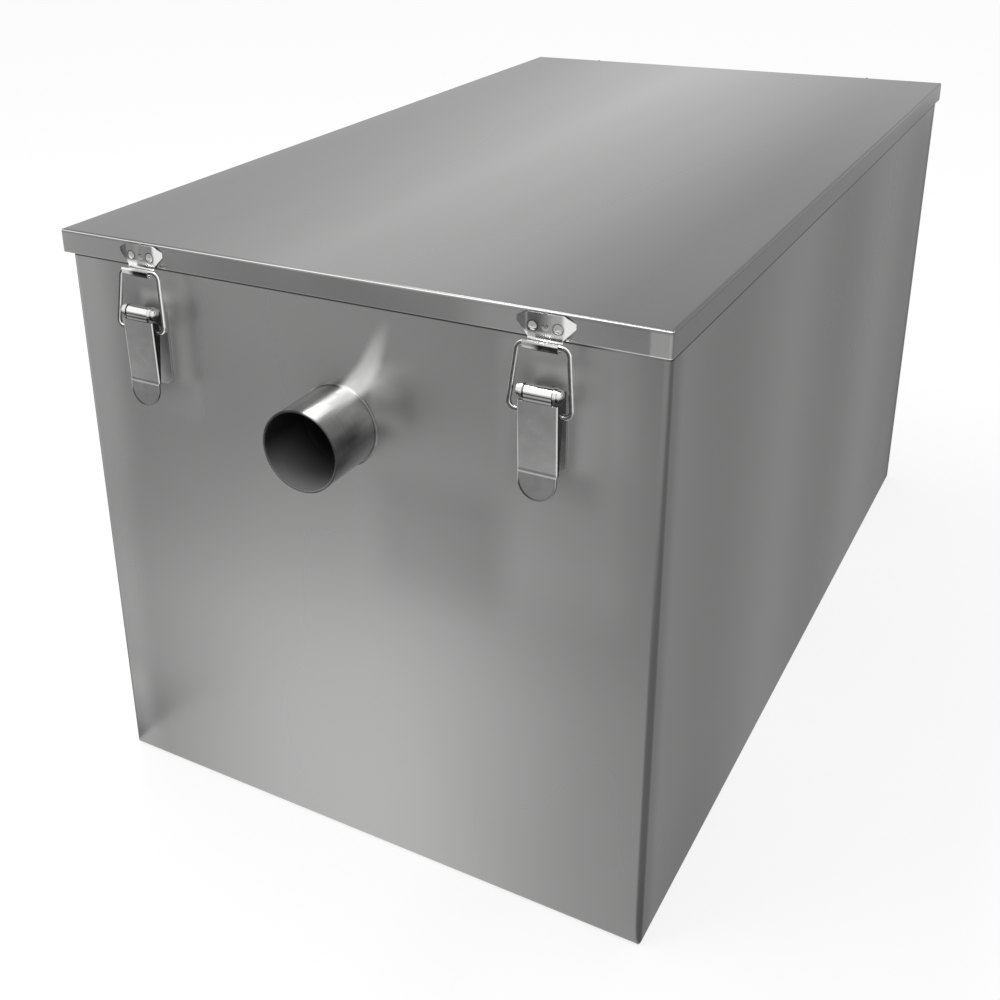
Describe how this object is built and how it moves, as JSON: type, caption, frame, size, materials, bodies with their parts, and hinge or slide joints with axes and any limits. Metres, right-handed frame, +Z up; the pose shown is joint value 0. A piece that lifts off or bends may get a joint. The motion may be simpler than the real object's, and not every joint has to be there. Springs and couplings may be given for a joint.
{
  "type": "grease trap",
  "caption": "Box-shaped stainless steel grease trap with pipe stubs, a lift-out strainer basket, baffles and a lid clamped by over-centre toggle latches.",
  "frame": {"origin": "on the floor under the middle of the tank", "axes": "+Z up, -Y out of the front end with the inlet, +Y out of the rear end with the outlet, +X to the right seen from the front"},
  "size_m": [0.404, 0.777, 0.4012],
  "materials": {
    "tank_steel": "satin, brushed",
    "lid_steel": "satin, brushed",
    "pipe_steel": "polished tube",
    "inner_steel": "mill",
    "latch_steel": "bright",
    "gasket_rubber": "matt"
  },
  "bodies": {
    "trap": {"tank": "tank_steel", "lid": "lid_steel", "lid_gasket": "gasket_rubber", "inlet_pipe": "pipe_steel", "outlet_pipe": "pipe_steel", "outlet_elbow": "pipe_steel", "inlet_baffle": "inner_steel", "outlet_baffle": "inner_steel", "baffle_guides": "inner_steel", "basket": "inner_steel", "basket_handles": "inner_steel", "basket_rails": "inner_steel", "keeper_rivets": "latch_steel", "front_left_keeper": "latch_steel", "front_left_base": "latch_steel", "front_left_pin": "latch_steel", "front_right_keeper": "latch_steel", "front_right_base": "latch_steel", "front_right_pin": "latch_steel", "rear_left_keeper": "latch_steel", "rear_left_base": "latch_steel", "rear_left_pin": "latch_steel", "rear_right_keeper": "latch_steel", "rear_right_base": "latch_steel", "rear_right_pin": "latch_steel"},
    "front_left_lever": {"front_left_lever": "latch_steel"},
    "front_left_bail": {"front_left_bail": "latch_steel"},
    "front_right_lever": {"front_right_lever": "latch_steel"},
    "front_right_bail": {"front_right_bail": "latch_steel"},
    "rear_left_lever": {"rear_left_lever": "latch_steel"},
    "rear_left_bail": {"rear_left_bail": "latch_steel"},
    "rear_right_lever": {"rear_right_lever": "latch_steel"},
    "rear_right_bail": {"rear_right_bail": "latch_steel"}
  },
  "joints": [
    {"name": "front_left_lever_hinge", "type": "hinge", "parent": "trap", "child": "front_left_lever", "pos_m": [-0.135, -0.3606, 0.3587], "axis": [-1, 0, 0], "range_deg": [0, 75]},
    {"name": "front_left_bail_hinge", "type": "hinge", "parent": "front_left_lever", "child": "front_left_bail", "pos_m": [-0.135, -0.36068, 0.3473], "axis": [-1, 0, 0], "range_deg": [-58.5, 0]},
    {"name": "front_right_lever_hinge", "type": "hinge", "parent": "trap", "child": "front_right_lever", "pos_m": [0.135, -0.3606, 0.3587], "axis": [-1, 0, 0], "range_deg": [0, 75]},
    {"name": "front_right_bail_hinge", "type": "hinge", "parent": "front_right_lever", "child": "front_right_bail", "pos_m": [0.135, -0.36068, 0.3473], "axis": [-1, 0, 0], "range_deg": [-58.5, 0]},
    {"name": "rear_left_lever_hinge", "type": "hinge", "parent": "trap", "child": "rear_left_lever", "pos_m": [-0.135, 0.3606, 0.3587], "axis": [1, 0, 0], "range_deg": [0, 75]},
    {"name": "rear_left_bail_hinge", "type": "hinge", "parent": "rear_left_lever", "child": "rear_left_bail", "pos_m": [-0.135, 0.36068, 0.3473], "axis": [1, 0, 0], "range_deg": [-58.5, 0]},
    {"name": "rear_right_lever_hinge", "type": "hinge", "parent": "trap", "child": "rear_right_lever", "pos_m": [0.135, 0.3606, 0.3587], "axis": [1, 0, 0], "range_deg": [0, 75]},
    {"name": "rear_right_bail_hinge", "type": "hinge", "parent": "rear_right_lever", "child": "rear_right_bail", "pos_m": [0.135, 0.36068, 0.3473], "axis": [1, 0, 0], "range_deg": [-58.5, 0]}
  ],
  "couplings": [
    {"joint": "front_left_bail_hinge", "follows": "front_left_lever_hinge", "ratio": -0.78},
    {"joint": "front_right_bail_hinge", "follows": "front_right_lever_hinge", "ratio": -0.78},
    {"joint": "rear_left_bail_hinge", "follows": "rear_left_lever_hinge", "ratio": -0.78},
    {"joint": "rear_right_bail_hinge", "follows": "rear_right_lever_hinge", "ratio": -0.78}
  ]
}
